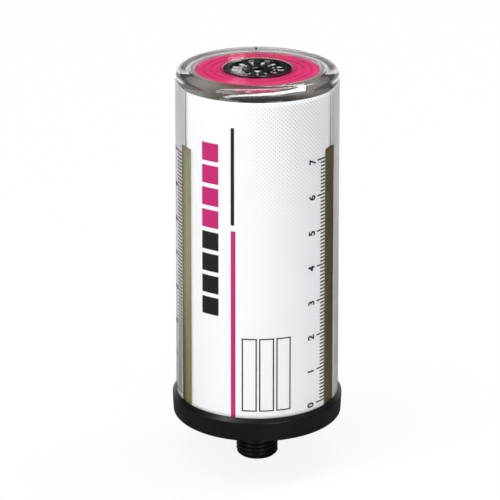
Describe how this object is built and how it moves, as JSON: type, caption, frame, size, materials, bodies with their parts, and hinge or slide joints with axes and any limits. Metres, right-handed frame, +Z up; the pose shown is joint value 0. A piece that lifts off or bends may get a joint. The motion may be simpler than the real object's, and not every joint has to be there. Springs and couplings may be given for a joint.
{
  "type": "automatic lubricator",
  "caption": "Upright clear grease canister with a printed label, magenta piston, black dial generator in the top and a black base cap with a threaded outlet nipple.",
  "frame": {"origin": "centre of the outlet nipple's shoulder, where its thread starts", "axes": "+Z up along the canister, away from the outlet; the front of the label faces -Y; +X to the right"},
  "size_m": [0.0532, 0.0532, 0.1266],
  "materials": {
    "clear_plastic": "gloss, clear",
    "white_film": "satin printed film",
    "magenta_ink": "printed ink",
    "black_ink": "printed ink",
    "black_plastic": "satin, moulded",
    "black_rubber": "matte",
    "brown_rubber": "satin",
    "grease": "wet, opaque",
    "board": "satin",
    "brass_contact": "bright",
    "nickel_contact": "bright",
    "cell_steel": "satin",
    "spring_steel": "satin",
    "white_plastic": "satin",
    "magenta_plastic": "gloss, moulded"
  },
  "bodies": {
    "canister": {"housing": "clear_plastic", "label_front": "white_film", "label_right": "white_film", "label_left": "white_film", "print_magenta": "magenta_ink", "print_black": "black_ink", "print_scale": "black_ink", "base_cap": "black_plastic", "base_seal": "black_rubber", "grease": "grease", "generator_case": "black_plastic", "generator_seal": "black_rubber", "generator_cover": "black_plastic", "switch_board": "board", "switch_pads": "brass_contact", "contact_spring": "nickel_contact", "gas_cell_upper": "cell_steel", "cell_link": "nickel_contact", "gas_cell_lower": "cell_steel", "contact_plate": "nickel_contact", "cell_sleeve": "white_plastic", "gas_membrane": "white_film"},
    "piston": {"piston": "magenta_plastic", "piston_seal_lower": "black_rubber", "piston_seal_upper": "brown_rubber"},
    "dial": {"dial": "black_plastic", "dial_seal": "black_rubber", "dial_clip": "spring_steel", "contact_wiper": "brass_contact"}
  },
  "joints": [
    {"name": "piston_slide", "type": "slide", "parent": "canister", "child": "piston", "axis": [0, 0, -1], "range_m": [0, 0.084], "deforming": ["grease"]},
    {"name": "dial_turn", "type": "hinge", "parent": "canister", "child": "dial", "pos_m": [0, 0, 0.11326], "axis": [0, 0, 1], "range_deg": [0, 332.3]}
  ]
}
